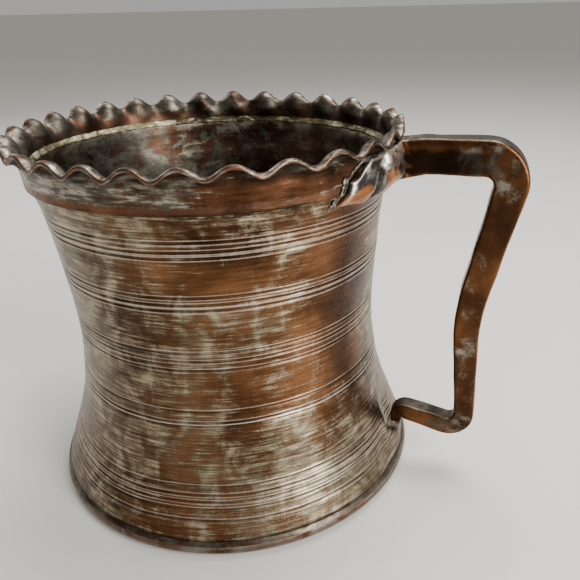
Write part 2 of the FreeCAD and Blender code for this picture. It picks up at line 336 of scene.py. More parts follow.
@dataclass(frozen=True)
class Nodes:
    """A node tree with short ways to add to it.

    Attributes:
        tree: The tree.
    """
    tree: NodeTree

    def add(self, kind: str, sockets: dict | None = None, **settings: object) -> Node:
        """Add a node with its settings and links.

        Args:
            kind: The node's type name without its ShaderNode prefix.
            sockets: What goes into each input: a value, or another node's output.
            **settings: The node's own properties.

        Returns:
            The node.
        """
        made = self.tree.nodes.new("ShaderNode" + kind)
        for key, value in settings.items():
            setattr(made, key, value)
        for key, value in (sockets or {}).items():
            if isinstance(value, NodeSocket):
                self.tree.links.new(value, made.inputs[key])
            else:
                made.inputs[key].default_value = value
        return made

    def noise(self, place: NodeSocket, size: Sequence[float], detail: float, roughness: float,
              distortion: float = 0.0) -> NodeSocket:
        """Add a noise whose swells have a size in millimetres along each axis.

        Args:
            place: Where the noise is read.
            size: Size of its swells along X, Y and Z.
            detail: Octaves of finer noise.
            roughness: How strong they are.
            distortion: How much the pattern is stirred.

        Returns:
            The noise's value.
        """
        stretched = self.add("Mapping", {
            "Vector": place, "Scale": tuple(1.0 / (length * MM) for length in size)})
        return self.add("TexNoise", {
            "Vector": stretched.outputs[0], "Scale": 1.0, "Detail": detail,
            "Roughness": roughness, "Distortion": distortion}).outputs["Fac"]

    def blend(self, *parts: tuple[NodeSocket, float], start: float = 0.0) -> NodeSocket:
        """Add up values, each multiplied by its weight.

        Args:
            *parts: Pairs of a value and its weight.
            start: What they are added to.

        Returns:
            The sum.
        """
        total = start
        for value, weight in parts:
            total = self.add("Math", {0: value, 1: weight, 2: total},
                             operation="MULTIPLY_ADD").outputs[0]
        return total

    def tones(self, value: NodeSocket, places: Sequence[float],
              colours: Sequence[str]) -> NodeSocket:
        """Turn a value into a colour.

        Args:
            value: The value.
            places: Values that give the three colours, in rising order.
            colours: The three colours, as hex.

        Returns:
            The colour.
        """
        made = self.add("ValToRGB", {"Fac": value})
        elements = made.color_ramp.elements
        elements.new(1.0)
        for element, place, colour in zip(elements, places, colours):
            element.position, element.color = place, linear(colour)
        return made.outputs["Color"]

    def ramp(self, value: NodeSocket, start: float, end: float, top: float = 1.0,
             **settings: object) -> NodeSocket:
        """Stretch a value so that start gives 0 and end gives the top."""
        return self.add("MapRange", {"Value": value, "From Min": start, "From Max": end,
                                     "To Max": top}, **settings).outputs[0]

    def tinted(self, share: NodeSocket, under: NodeSocket, over: object) -> NodeSocket:
        """Lay one colour over another by a share."""
        return self.add("Mix", {0: share, 6: under, 7: over}, data_type="RGBA").outputs[2]


@dataclass(frozen=True)
class Tarnish:
    """Worn tin plate over copper, with bare metal, dirt and painted shade in its hollows, and rubbed
    edges and painted highlights.

    Attributes:
        name: Name of the finish.
        bare: Ramp colours of the bare metal, dark to bright.
        plate: Ramp colours of the tin, dark to bright.
        kept: How much of the plate is left, from 0 to 1.
        brushed: How strongly the turning streaks cut the tin up.
        feather: How softly the tin thins out at the edge of a patch.
        streak: Length and height of the turning streaks, in millimetres.
        patch: Size of the worn patches, in millimetres.
        edge: Colour of rubbed edges and ridges, and of painted highlights.
        grime_and_shade: Colour in the hollows, also of painted shade.
        rough_bare: Roughness of the bare metal.
        rough_plate: Roughness of the tin.
        pits: Depth of the surface grain, in millimetres.
        speck: Size of that grain, in millimetres.
        stain: Colour of sparse corrosion spots.
        stain_share: How much the spots cover, from 0 to 1.
    """
    name: str
    bare: tuple[str, str, str]
    plate: tuple[str, str, str]
    kept: float
    brushed: float = 0.30
    feather: float = 0.11
    streak: tuple[float, float] = (30.0, 0.9)
    patch: tuple[float, float] = (13.0, 9.0)
    edge: str = "#d8b49a"
    grime_and_shade: str = "#1d1610"
    rough_bare: float = 0.36
    rough_plate: float = 0.42
    pits: float = 0.05
    speck: float = 0.7
    stain: str = "#3d4a3a"
    stain_share: float = 0.0

    def build(self) -> Material:
        """Make the material.

        Returns:
            The material.
        """
        made = bpy.data.materials.new(self.name)
        made.use_nodes = True
        made.node_tree.nodes.clear()
        nodes = Nodes(made.node_tree)
        place = nodes.add("TexCoord").outputs["Object"]
        relief = nodes.add("Attribute", attribute_name=RELIEF).outputs["Fac"]
        tinned = nodes.add("Attribute", attribute_name=TINNED).outputs["Fac"]
        long, high = self.streak
        streaks = nodes.noise(place, (long, long, high), 5.0, 0.65)
        scratches = nodes.noise(place, (long * 0.6, long * 0.6, high * 0.4), 2.0, 0.5)
        wide, tall = self.patch
        patches = nodes.noise(place, (wide, wide, tall), 6.0, 0.62, 0.7)
        specks = nodes.noise(place, (self.speck,) * 3, 3.0, 0.5)
        clouds = nodes.noise(place, (22.0, 22.0, 30.0), 3.0, 0.5, 0.4)
        worn = nodes.blend(
            (patches, 1.0), (streaks, self.brushed), (scratches, self.brushed),
            (specks, 0.24), (clouds, 0.35), (tinned, 0.45))
        middle = 0.5 * (1.59 + 2.0 * self.brushed) + 0.4 * (0.5 - self.kept)
        plated = nodes.ramp(worn, middle - self.feather, middle + self.feather,
                            interpolation_type="SMOOTHSTEP")
        bare = nodes.tones(nodes.blend((streaks, 0.3), (clouds, 0.7)), (0.36, 0.50, 0.66),
                           self.bare)
        tin = nodes.tones(nodes.blend((patches, 0.4), (streaks, 0.6)), (0.36, 0.50, 0.64),
                          self.plate)
        colour = nodes.tinted(plated, bare, tin)
        # Negative relief takes the dark colour: grooves and soot, and painted shade under the lip,
        # along the collar's lower edge and in the saddle's valleys.
        hollow_and_shade = nodes.ramp(relief, -0.1, -1.0, 0.85)
        soot = nodes.ramp(specks, 0.36, 0.26, 0.6)
        dark = nodes.add("Math", {0: hollow_and_shade, 1: soot}, operation="MAXIMUM").outputs[0]
        colour = nodes.tinted(dark, colour, linear(self.grime_and_shade))
        if self.stain_share > 0:
            spots = nodes.noise(place, (5.0, 5.0, 5.0), 4.0, 0.7, 0.2)
            least = 0.66 - self.stain_share * 0.3
            spots = nodes.ramp(spots, least, least + 0.08, 0.75)
            colour = nodes.tinted(spots, colour, linear(self.stain))
        # Positive relief takes the edge colour: rubbed edges and ridges, and a painted highlight along
        # each saddle leaf's upper edge.
        rub_and_highlight = nodes.ramp(nodes.blend((relief, 1.0), (patches, 0.8)), 0.65, 1.35, 0.80)
        colour = nodes.tinted(rub_and_highlight, colour, linear(self.edge))
        rough = nodes.blend(
            (specks, 0.5), (dark, 0.3), (plated, self.rough_plate - self.rough_bare),
            start=self.rough_bare - 0.25)
        rises = nodes.blend((specks, 0.5), (streaks, 0.6), (scratches, 0.8), (plated, 0.2))
        lumps = nodes.add("Bump", {
            "Strength": 1.0, "Distance": self.pits * MM, "Height": rises})
        metal = nodes.add("BsdfPrincipled", {
            "Base Color": colour, "Metallic": 1.0, "Roughness": rough,
            "Normal": lumps.outputs[0]})
        nodes.add("OutputMaterial", {"Surface": metal.outputs[0]})
        return made


# Turned sheet: thin grey tin rubbed through to brown copper, which reads as warm brown with
# silvery blotches cut up by horizontal scratches.
WALL_TIN = Tarnish(
    "turned_tinned_copper", bare=("#2b1b10", "#533722", "#7f583a"),
    plate=("#352e25", "#645947", "#a99c85"), kept=0.48, brushed=0.62, feather=0.19,
    streak=(11.0, 0.7), patch=(6.5, 9.0), edge="#cdbfae", rough_bare=0.31, rough_plate=0.36, pits=0.07)
# Lining of the cup: old tin gone grey-black, with verdigris and a little rust.
INSIDE_TIN = Tarnish(
    "aged_tin_lining", bare=("#291b13", "#483226", "#6b4c3b"),
    plate=("#322f29", "#514c43", "#766f62"), kept=0.66, streak=(10.0, 4.0), patch=(8.0, 7.0),
    edge="#8d8576", rough_bare=0.46, rough_plate=0.42, stain="#39463a", stain_share=0.30)
# Crimped sheet: dark tin, bare bronze-brown along the handled edge, green in the hollows, and painted
# shadow under the lip and along the collar's lower edge.
RIM_TIN = Tarnish(
    "crimped_tinned_copper", bare=("#26180f", "#523523", "#80553a"),
    plate=("#2c2823", "#5b554c", "#b8af9f"), kept=0.62, brushed=0.5, feather=0.15,
    streak=(7.0, 1.2), patch=(6.0, 4.0),
    edge="#725748", rough_bare=0.36, rough_plate=0.34, stain="#4a5140", stain_share=0.14,
    pits=0.07)
BASE_TIN = Tarnish(
    "scuffed_tinned_base", bare=("#38241a", "#5f4230", "#845d45"),
    plate=("#453f38", "#6f685f", "#958d82"), kept=0.55, edge="#a08a76", rough_bare=0.40,
    rough_plate=0.46)
# Forged bar: oxidised copper, black where soot stayed, copper where the hand rubs its corners,
# grey where its tin is left.
BAR_COPPER = Tarnish(
    "forged_bar_copper", bare=("#21150d", "#432b1a", "#6e482b"),
    plate=("#312c24", "#4c463b", "#8d867b"), kept=0.14, streak=(14.0, 9.0), patch=(10.0, 12.0),
    brushed=0.12, edge="#9a6742", grime_and_shade="#0f0c0a", rough_bare=0.34, rough_plate=0.40,
    pits=0.035, speck=0.8)
# Hammered saddle: dark grey tin, orange copper where it is rubbed, pale tin at its root, near-black
# painted shade in the valleys beside the root and a painted highlight along each leaf's upper edge.
SADDLE_COPPER = Tarnish(
    "hammered_saddle_copper", bare=("#5c3520", "#9a5f36", "#b87c4c"),
    plate=("#2c2a28", "#484542", "#8f8a80"), kept=0.60, streak=(6.0, 4.0), patch=(7.0, 6.0),
    brushed=0.12, edge="#cbbfae", grime_and_shade="#100d0a", rough_bare=0.34, rough_plate=0.34,
    pits=0.05, speck=0.9)
SOLDER = Tarnish(
    "dull_tin_solder", bare=("#2c2620", "#4f483f", "#766e62"),
    plate=("#45413b", "#726d64", "#b3aea3"), kept=0.56, streak=(4.0, 2.5), patch=(3.0, 3.0),
    edge="#cbc6bb", rough_bare=0.44, rough_plate=0.38, pits=0.10, speck=0.8)
LEDGE_TIN = Tarnish(
    "dusty_ledge_solder", bare=("#3a3325", "#5c533c", "#7c7254"),
    plate=("#5c5747", "#908970", "#b5ae92"), kept=0.44, streak=(4.0, 2.5), patch=(6.0, 3.0),
    edge="#b9b296", rough_bare=0.6, rough_plate=0.55, pits=0.10, speck=0.8)
PIN_TIN = Tarnish(
    "tinned_pin", bare=("#2e2925", "#4c4742", "#6d6862"), plate=("#55524e", "#75716c", "#9a968f"),
    kept=0.6, streak=(3.0, 3.0), patch=(3.0, 3.0), edge="#b9b4ab", rough_bare=0.45)


# ---- the wall ----
@dataclass
class Wall:
    """Raised wall of the mug with its turned lines and the pucker round the pin.

    Attributes:
        shape: (height, outer radius) points between the seam and the lap.
        bands: Heights of the turned lines, band by band.
        sheet: Thickness of the copper.
        lap_z: Where the collar's lower edge sits.
        worn: Where the tin is worn, below zero, or whole, above it; the spot at -158 degrees bares the
            copper as a painted dark reflection.
        dents: How the pin has pushed the wall out, in millimetres.
        line_width: Half width of a turned line.
        line_depth: Depth of a turned line.
        ridge: Height of the burr beside a line.
        fine: Spacing of the section's points beside a line.
        coarse: Their spacing elsewhere.
        steps: Steps round the wall.
    """
    shape: tuple[tuple[float, float], ...] = (
        (5.6, 63.0), (12.7, 60.1), (25.0, 55.5), (38.0, 52.1), (57.0, 50.1),
        (79.0, 51.2), (95.0, 52.7), (104.8, 55.0))
    bands: tuple[tuple[float, ...], ...] = (
        (97.2, 94.5, 92.7), (81.4, 79.3, 77.6), (64.1, 61.4, 58.4),
        (44.9, 41.4, 40.2), (21.5, 19.0, 17.0, 14.8, 11.5))
    sheet: float = 1.2
    lap_z: float = 104.8
    worn: tuple[Spot, ...] = (
        Spot(-25.0, 70.0, 17.0, 34.0, -1.1), Spot(-72.0, 88.0, 16.0, 9.0, -0.7),
        Spot(-62.0, 47.0, 9.0, 12.0, -0.5), Spot(-118.0, 60.0, 24.0, 70.0, 0.5),
        Spot(5.0, 60.0, 14.0, 40.0, 0.5), Spot(-30.0, 16.0, 26.0, 12.0, 0.7),
        Spot(-52.0, 30.0, 12.0, 10.0, 0.4), Spot(-95.0, 12.0, 22.0, 9.0, -0.5),
        # The first spot on the next line is a painted dark reflection: it bares the copper to darken
        # the far left.
        Spot(-158.0, 60.0, 15.0, 60.0, -0.9), Spot(110.0, 60.0, 30.0, 40.0, -0.4),
        Spot(60.0, 85.0, 26.0, 20.0, -0.5), Spot(170.0, 80.0, 30.0, 26.0, 0.4))
    dents: tuple[Spot, ...] = (
        Spot(0.5, 18.5, 5.0, 5.5, -1.7), Spot(-6.0, 17.0, 1.5, 6.5, 0.9, lean=0.28),
        Spot(0.5, 9.4, 3.2, 2.2, 0.9), Spot(-11.0, 11.0, 5.5, 5.0, -0.9))
    line_width: float = 0.30
    line_depth: float = 0.22
    ridge: float = 0.13
    fine: float = 0.17
    coarse: float = 0.9
    steps: int = 216

    @property
    def lines(self) -> list[float]:
        """Give the height of every line."""
        return [height for band in self.bands for height in band]

    def radius(self, height: float) -> float:
        """Give the outer radius without its lines."""
        return through(self.shape, min(height, self.lap_z))

    def relief(self, height: float) -> float:
        """Give how a height stands to the lines.

        Args:
            height: The height.

        Returns:
            -1 at the bottom of a line, up to 1 on the burrs beside it, 0 elsewhere.
        """
        total = 0.0
        for line in self.lines:
            gap = abs(height - line)
            if gap < 5.0 * self.line_width:
                total -= 0.55 * bump(gap, 0.0, self.line_width)
                total += 0.75 * bump(gap, 2.1 * self.line_width, 0.8 * self.line_width)
        return max(min(total, 1.0), -1.0)

    def depth(self, height: float) -> float:
        """Give how far the surface stands out at a height because of its lines."""
        relief = self.relief(height)
        return relief * (self.line_depth if relief < 0 else self.ridge)

    def heights(self, low: float, high: float) -> list[float]:
        """Give heights to sample, close together beside the lines.

        Args:
            low: The first height.
            high: The last height.

        Returns:
            The heights, rising.
        """
        found = [low]
        while found[-1] < high:
            here = found[-1]
            near = min(abs(here - line) for line in self.lines)
            found.append(here + (self.fine if near < 1.15 else self.coarse))
        found[-1] = high
        return found

    def tinned(self, point: Vector) -> float:
        """Give how whole the tin is at a place, from about -1 to 1, with one bare spot that paints a
        dark reflection.
        """
        return sum(spot.at(point) for spot in self.worn)

    def wander(self, point: Vector) -> Vector:
        """Give the shift that a hand-raised wall has from a true round.

        Args:
            point: A point of the true round.

        Returns:
            The shift.
        """
        fade = smooth(self.lap_z - point.z, 0.0, 8.0) * smooth(point.z, 5.6, 12.0)
        swell = 0.34 * grain(point, 26.0, 3.1) + 0.10 * grain(point, 9.0, 5.7)
        sag = Vector((0.0, 0.0, 0.35 * grain(point, 34.0, 8.3) * fade))
        return outward(point) * (swell * fade + sum(dent.at(point) for dent in self.dents)) + sag

    def build(self) -> Object:
        """Make the wall.

        Returns:
            The piece.
        """
        low, high = cad_box("body_wall")
        heights = self.heights(low.z, self.lap_z)
        outside = [(self.radius(z) + self.depth(z), z) for z in heights]
        inside = []
        for z in reversed(heights[::6] + heights[-1:]):
            slope = self.radius(z + 0.5) - self.radius(z - 0.5)
            inside.append((self.radius(z) - self.sheet * math.hypot(1.0, slope), z))
        top = self.radius(self.lap_z)
        outline = outside + [(top, high.z - 0.3), (top - 0.3, high.z),
                             (top - self.sheet + 0.3, high.z), (top - self.sheet, high.z - 0.3)]
        section = outline + inside
        relief = [self.relief(z) if z < self.lap_z else 0.4 for _, z in outline]
        relief += [0.0] * len(inside)
        bm = spun([section], self.steps, True, {RELIEF: relief})
        painted(bm, TINNED, self.tinned)
        moved(bm, self.wander)
        lined(bm, lambda centre, normal: normal.dot(outward(centre)) <= 0.0)
        return finished("turned_wall", bm, [WALL_TIN.build(), INSIDE_TIN.build()],
                        "body_wall")


# ---- the base ----
@dataclass
class Base:
    """Flat bottom with a rounded foot, and the tin inside its seam.

    Attributes:
        flat_r: Radius of the flat underside.
        sheet: Thickness of the copper.
        side_z: Height of the foot's widest point.
        seam_r: Outer radius at the seam.
        steps: Steps round the foot.
    """
    flat_r: float = 59.6
    sheet: float = 1.2
    side_z: float = 2.8
    seam_r: float = 63.0
    steps: int = 216

    def build(self) -> list[Object]:
        """Make the pan and its seam solder.

        Returns:
            The two pieces.
        """
        low, high = cad_box("base_pan")
        side_r = high.x
        outside = [(0.0, 0.0)] + [(self.flat_r * share, 0.0) for share in (0.25, 0.5, 0.75, 0.9)]
        for step in range(9):
            turn = math.radians(90.0 * step / 8)
            outside.append((self.flat_r + (side_r - self.flat_r) * math.sin(turn),
                            self.side_z * (1.0 - math.cos(turn))))
        outside += [(side_r - 0.5, 4.2), (self.seam_r + 0.2, high.z - 0.25),
                    (self.seam_r - 0.05, high.z - 0.1), (self.seam_r - 0.3, high.z)]
        inside = [(radius - self.sheet, max(height, self.sheet))
                  for radius, height in reversed(outside[6:-1])]
        inside += [(self.flat_r * share, self.sheet) for share in (0.9, 0.6, 0.3, 0.0)]
        bm = spun([outside + inside], self.steps, False)
        painted(bm, RELIEF, lambda p: -0.35 if p.z > high.z - 0.2 else 0.2 if p.z > 1.5 else 0.0)
        moved(bm, self.wander)
        lined(bm, lambda centre, normal: normal.z > 0.5 or (
            normal.dot(outward(centre)) < 0.0 and centre.z > self.sheet))
        pan = finished("foot_pan", bm, [BASE_TIN.build(), INSIDE_TIN.build()],
                       "base_pan")
        return [pan, self.seam()]

    def wander(self, point: Vector) -> Vector:
        """Give the small dents of the bottom, which stays flat where it stands."""
        inner = 1.0 - smooth(math.hypot(point.x, point.y), self.flat_r - 14.0, self.flat_r - 4.0)
        return Vector((0.0, 0.0, inner * (0.35 + 0.3 * grain(point, 18.0, 2.2))))

    def seam(self) -> Object:
        """Make the fillet of tin inside the seam.

        Returns:
            The piece.
        """
        low, high = cad_box("base_seam_solder")
        reach = high.x
        fillet = [(reach - 2.0, high.z), (reach - 0.9, high.z - 0.2), (reach - 0.5, high.z - 1.4),
                  (reach, low.z + 0.2), (reach - 1.3, low.z), (reach - 1.9, low.z + 1.5)]
        bm = spun([fillet], 180, True)
        moved(bm, lambda p: outward(p) * 0.25 * grain(p, 3.0, 4.0))
        return finished("seam_tin", bm, [SOLDER.build()], "base_seam_solder")


# ---- the rim ----
@dataclass
class Rim:
    """Flared collar with a crimped lip, and the tin that holds it.

    Attributes:
        waves: Crimps round the lip.
        wave_height: Half the height of a crimp, square to the sheet.
        first_crest: Angle of one crest, in degrees.
        wander: Uneven spacing, as (swells in one turn, degrees, where a swell peaks).
        levels: (outer radius, height, share of the crimp) from the lap to the lip's edge.
        lean: How far the lip is shifted, along X and Y.
        tilt: How much higher it is towards +X and +Y.
        sheet: Thickness of the copper.
        wall_r: Outer radius of the wall inside the collar.
        wall_top: Height of the wall's upper edge.
        steps_per_wave: Steps along each crimp.
    """
    waves: int = 29
    wave_height: float = 1.68
    first_crest: float = -169.8
    wander: tuple[tuple[int, float, float], ...] = (
        (1, 0.8, 90.0), (2, 0.9, 180.0), (3, 1.1, 0.0), (4, 1.0, -90.0))
    levels: tuple[tuple[float, float, float], ...] = (
        (56.25, 104.8, 0.0), (56.3, 107.4, 0.0), (56.5, 110.2, 0.10), (56.8, 112.6, 0.45),
        (57.6, 114.5, 0.80), (58.6, 115.05, 0.93), (59.45, 115.1, 1.0))
    lean: tuple[float, float] = (-1.15, -0.33)
    tilt: tuple[float, float] = (-0.21, 0.45)
    sheet: float = 1.2
    wall_r: float = 55.05
    wall_top: float = 108.2
    steps_per_wave: int = 18

    def crimp(self, angle: float) -> float:
        """Give the crimp at an angle, about -1 in a trough and 1 on a crest.

        Args:
            angle: Degrees from the handle.

        Returns:
            The crimp's share of its height.
        """
        turn = math.radians(angle)
        wander = sum(size * math.cos(swells * turn - math.radians(peak))
                     for swells, size, peak in self.wander)
        phase = self.waves * math.radians(angle - wander - self.first_crest)
        uneven = 0.92 + 0.10 * math.cos(turn - 2.0) + 0.05 * math.sin(7.0 * turn)
        return uneven * (math.cos(phase) - 0.08 * math.cos(2.0 * phase))

    def section(self) -> tuple[list[tuple[float, float]], dict[str, list[float]]]:
        """Give the collar's section and what each of its points does when it is crimped.

        Returns:
            The (radius, height) points and their marks by name.
        """
        points, marks = [], {"share": [], "out": [], "up": [], RELIEF: []}
        last = len(self.levels) - 1
        radii, heights, shares = ([(i, level[k]) for i, level in enumerate(self.levels)]
                                  for k in range(3))

        def place(at: float, deep: float, relief: float) -> None:
            """Add one point.

            Args:
                at: Place along the levels.
                deep: Depth inside the outer face.
                relief: Its relief.
            """
            rise = (through(radii, at + 0.05) - through(radii, at - 0.05),
                    through(heights, at + 0.05) - through(heights, at - 0.05))
            length = math.hypot(*rise)
            out, up = rise[1] / length, -rise[0] / length
            radius, height = through(radii, at) - out * deep, through(heights, at) - up * deep
            if deep and height < self.wall_top + 0.4:
                radius = self.wall_r
            points.append((radius, height))
            for name, value in (("share", through(shares, at)), ("out", out), ("up", up),
                                (RELIEF, relief)):
                marks[name].append(value)

        steps = 44
        for step in range(steps + 1):
            at = last * step / steps
            # The dip at the collar's lower edge paints a thin shadow line under the rubbed bead, and
            # shade paints the shadow under the crimped lip.
            bead = 0.5 * bump(at, 0.55, 0.5) - 0.8 * bump(at, 0.0, 0.12)
            shade = -0.8 * smooth(at, 2.2, 3.2) * smooth(at, 5.9, 5.0)
            place(at, 0.0, bead + shade + 0.6 * smooth(at, 5.7, 5.95))
        for turn in (30.0, 60.0, 90.0, 120.0, 150.0):
            angle = math.radians(turn)
            bulge = math.sin(angle) * self.sheet * 0.42 / 0.9
            place(last + bulge, self.sheet * (1.0 - math.cos(angle)) / 2.0, 0.6)
        for step in range(steps, -1, -1):
            at = last * step / steps
            place(at, self.sheet, 0.55 * smooth(at, 5.7, 6.0) + 0.25 * bump(at, 4.4, 0.5))
        return points, marks

    def build(self) -> list[Object]:
        """Make the collar and its two runs of tin.

        Returns:
            The two pieces.
        """
        outline, marks = self.section()
        bm = spun([outline], self.waves * self.steps_per_wave, True, marks)
        share_of, out_of, up_of = (bm.verts.layers.float[name] for name in ("share", "out", "up"))
        for vert in bm.verts:
            share = vert[share_of]
            out = outward(vert.co)
            ragged = 0.07 * grain(vert.co, 2.2, 1.3) + 0.14 * grain(vert.co, 8.0, 6.1)
            lift = ragged - self.wave_height * share * self.crimp(angle_of(vert.co))
            tilt = self.tilt[0] * out.x + self.tilt[1] * out.y
            vert.co += out * (vert[out_of] * lift) + share * Vector(
                (self.lean[0], self.lean[1], tilt)) + Vector((0.0, 0.0, vert[up_of] * lift))
        painted(bm, TINNED, self.tinned)
        lined(bm, lambda centre, normal: normal.dot(outward(centre)) < -0.35 or (
            math.hypot(centre.x, centre.y) < self.wall_r + 0.1 and centre.z < self.wall_top))
        collar = finished("crimped_collar", bm, [RIM_TIN.build(), INSIDE_TIN.build()],
                          "rim_collar")
        return [collar, self.tin()]

    def tinned(self, point: Vector) -> float:
        """Give how whole the tin is.

        Args:
            point: Where.

        Returns:
            From about -1, worn away, to 1, whole.
        """
        side = angle_of(point)
        collar = smooth(point.z, 106.8, 107.6) * smooth(point.z, 113.5, 112.0)
        bead = smooth(point.z, 107.2, 106.4)
        return collar * (2.0 * bump(side, -124.0, 30.0) - 0.9 * bump(side, -50.0, 14.0)
                         + 0.5 * bump(side, -76.0, 6.0) - 0.4) - 0.8 * bead

    def tin(self) -> Object:
        """Make the tin on the inner ledge and the ragged line under the collar's edge.

        Returns:
            The piece.
        """
        lap_z, top = self.levels[0][1], self.wall_top
        rings = [
            [(53.75, top - 0.3), (54.05, top + 0.25), (54.6, top + 0.7), (55.0, top + 1.5),
             (55.1, top + 0.3), (54.9, top - 0.2)],
            [(54.75, lap_z - 1.1), (55.15, lap_z - 0.8), (55.6, lap_z - 0.25),
             (55.85, lap_z + 0.1), (54.9, lap_z + 0.1), (54.5, lap_z - 0.6)]]
        bm = spun(rings, 420, True)
        moved(bm, lambda p: outward(p) * (0.16 * grain(p, 1.4, 9.0) + 0.14 * grain(p, 5.0, 2.0))
              + Vector((0.0, 0.0, 0.22 * grain(p, 2.0, 7.0))))
        painted(bm, RELIEF, lambda p: 0.6 * grain(p, 2.0, 5.0))
        return finished("collar_tin", bm, [LEDGE_TIN.build()], "collar_solder")


# ---- the handle ----
@dataclass
class Handle:
    """Forged bar on a fishtail saddle, with its tin and the pin at its foot.

    Attributes:
        route: (x, z, bend radius) corners of the bar's centre line, from the saddle to the tip.
        tall: (share of the length, half thickness in the bar's plane) along the bar.
        wide_top: Half width at the top.
        wide_foot: Half width at the foot.
        leaf_angle: Degrees that each leaf wraps round the mug.
        leaf_r: Radius of a leaf's front at its lower edge.
        leaf_out: How far it swells out above that edge.
        root_out: How much further the saddle swells round the bar.
        saddle_low: Lowest height of the saddle.
        saddle_high: Highest height of the saddle, under the crimped lip.
        end_lumps: Lumps of tin at each leaf's end.
        top_lumps: Lumps of tin along the top of each leaf.
        pin_x: Where the pin leaves the bar.
        pin_r: Its radius.
        pin_bend: Radius of its bend into the wall.
        pin_turn: Degrees that it bends.
    """
    route: tuple[tuple[float, float, float], ...] = (
        (57.6, 108.3, 0.0), (65.5, 109.65, 12.0), (91.3, 109.7, 7.6), (81.5, 60.3, 85.0),
        (84.9, 16.2, 5.4), (61.7, 21.7, 2.6), (61.2, 15.9, 0.0))
    tall: tuple[tuple[float, float], ...] = (
        (0.0, 5.5), (0.05, 5.05), (0.2, 5.05), (0.33, 4.5), (0.52, 4.2), (0.68, 3.6),
        (0.82, 3.25), (0.95, 2.9), (1.0, 1.7))
    wide_top: float = 4.5
    wide_foot: float = 3.1
    leaf_angle: float = 31.0
    leaf_r: float = 57.0
    leaf_out: float = 2.1
    root_out: float = 3.5
    saddle_low: float = 100.5
    saddle_high: float = 112.9
    end_lumps: int = 110
    top_lumps: int = 60
    pin_x: float = 61.7
    pin_r: float = 1.15
    pin_bend: float = 2.6
    pin_turn: float = 68.0

    def line(self, spacing: float) -> list[Vector]:
        """Give points along the bar's centre line.

        Args:
            spacing: Distance between points.

        Returns:
            The points, in the XZ plane.
        """
        corners = [(Vector((x, 0.0, z)), radius) for x, z, radius in self.route]
        found = [corners[0][0]]

        def walk(to: Vector) -> None:
            """Add evenly spaced points on the way to a place.

            Args:
                to: The place.
            """
            start = found[-1]
            count = max(int((to - start).length / spacing), 1)
            found.extend(start.lerp(to, step / count) for step in range(1, count + 1))

        for (before, _), (here, radius), (after, _) in zip(corners, corners[1:], corners[2:]):
            back, ahead = (before - here).normalized(), (after - here).normalized()
            half = back.angle(ahead) / 2.0
            run = radius / math.tan(half)
            centre = here + (back + ahead).normalized() * (radius / math.sin(half))
            walk(here + back * run)
            first, last = here + back * run - centre, here + ahead * run - centre
            sweep = first.angle(last)
            count = max(int(radius * sweep / spacing), 4)
            for step in range(1, count + 1):
                share = step / count
                mix = (first * math.sin((1.0 - share) * sweep)
                       + last * math.sin(share * sweep)) / math.sin(sweep)
                found.append(centre + mix)
        walk(corners[-1][0])
        return found

    def bar(self) -> Object:
        """Make the forged bar.

        Returns:
            The piece.
        """
        points = self.line(0.8)
        last = len(points) - 1
        stations = []
        for index, point in enumerate(points):
            ahead = points[min(index + 1, last)] - points[max(index - 1, 0)]
            share = index / last
            wide = self.wide_foot + (self.wide_top - self.wide_foot) * smooth(point.z, 5.0, 125.0)
            tip = 1.0 - 0.35 * smooth(share, 0.955, 1.0)
            stations.append(Station(point, ahead, through(self.tall, share), wide * tip))
        bm = swept(stations, 64, 9.0)
        rubbed = bm.verts.layers.float.new(RELIEF)
        tinned = bm.verts.layers.float.new(TINNED)
        bm.normal_update()
        for vert in bm.verts:
            place, normal = vert.co, vert.normal
            corner = max(0.0, 1.0 - abs(abs(normal.y) - 0.6) / 0.38)
            flat = smooth(abs(normal.y), 0.8, 0.97)
            arm = smooth(place.x, 90.0, 79.0) * smooth(place.z, 100.0, 106.0)
            soot = arm * flat * smooth(112.6 - place.z + 1.6 * grain(place, 5.0, 3.0), 0.0, 1.6)
            edge = corner * (0.75 + 0.5 * grain(place, 7.0, 3.0))
            braze = bump(place.x, 60.9, 0.8) * smooth(place.z, 98.0, 102.0)
            tip = 0.5 * smooth(place.z, 19.0, 17.0) * smooth(place.x, 66.0, 62.0)
            vert[rubbed] = edge - soot - tip + braze * (0.5 + 2.6 * grain(place, 1.1, 5.0))
            top = smooth(normal.z, 0.6, 0.95) * smooth(place.z, 112.0, 114.0)
            foot = smooth(normal.z, 0.5, 0.9) * smooth(place.z, 30.0, 24.0)
            vert[tinned] = 1.9 * top + 0.9 * foot - 0.8 * corner
            hammer = 0.20 * grain(place, 9.0, 1.9) + 0.09 * grain(place, 3.6, 4.4)
            vert.co = place + normal * hammer
        return finished("forged_bar", bm, [BAR_COPPER.build()], "handle_bar")

    def saddle(self) -> Object:
        """Make the fishtail saddle: a block bent round the mug and swelled out to the bar.

        Returns:
            The piece.
        """
        bm = bmesh.new()
        bmesh.ops.create_cube(bm, size=2.0)
        for axis, cuts in ((1, 161), (2, 57), (0, 2)):
            along = [edge for edge in bm.edges
                     if abs(edge.verts[0].co[axis] - edge.verts[1].co[axis]) > 1.9]
            bmesh.ops.subdivide_edges(bm, edges=along, cuts=cuts, use_grid_fill=True)
        rubbed = bm.verts.layers.float.new(RELIEF)
        tinned = bm.verts.layers.float.new(TINNED)
        for vert in bm.verts:
            out, side, up = vert.co
            vert.co, vert[rubbed], vert[tinned] = self.on_saddle((out + 1.0) / 2.0, side, up)
        bmesh.ops.recalc_face_normals(bm, faces=bm.faces)
        return finished("fishtail_saddle", bm, [SADDLE_COPPER.build()],
                        "handle_saddle")

